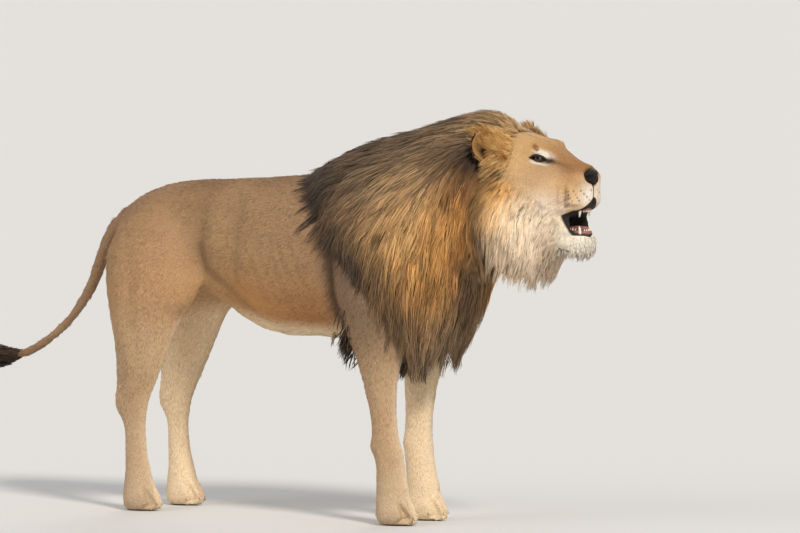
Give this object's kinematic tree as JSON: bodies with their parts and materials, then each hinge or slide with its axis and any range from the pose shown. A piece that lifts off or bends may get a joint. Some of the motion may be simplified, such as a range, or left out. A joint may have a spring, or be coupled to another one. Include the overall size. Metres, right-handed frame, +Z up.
{
  "type": "standing male lion",
  "caption": "Life-size adult male lion standing four-square, head raised with the mouth open, full mane, tail swept out behind.",
  "frame": {"origin": "on the floor, under the middle of the lion's overall box from tail tuft to muzzle", "axes": "+X towards the lion's nose, +Y to the lion's left, +Z up"},
  "size_m": [2.2064, 0.5006, 1.1797],
  "materials": {
    "coat": "short tawny fur, matte",
    "pale_coat": "short pale fur, matte",
    "gold_mane": "long golden hair, soft sheen",
    "dark_mane": "long brown hair, soft sheen",
    "nose": "damp leather, satin",
    "eye": "wet amber eye, glossy",
    "tongue": "damp pink tongue, satin",
    "tooth": "ivory tooth, satin"
  },
  "bodies": {
    "root": {"trunk": "coat", "neck": "coat", "head": "coat", "jaw": "pale_coat", "nose": "nose", "tongue": "tongue", "mane": "dark_mane", "ruff": "gold_mane", "tail": "coat", "tail_tuft": "dark_mane", "ear_right": "coat", "eye_right": "eye", "fang_right": "tooth", "foreleg_right": "coat", "hindleg_right": "coat", "forepaw_right": "pale_coat", "hindpaw_right": "pale_coat", "ear_left": "coat", "eye_left": "eye", "fang_left": "tooth", "foreleg_left": "coat", "hindleg_left": "coat", "forepaw_left": "pale_coat", "hindpaw_left": "pale_coat"}
  },
  "joints": []
}
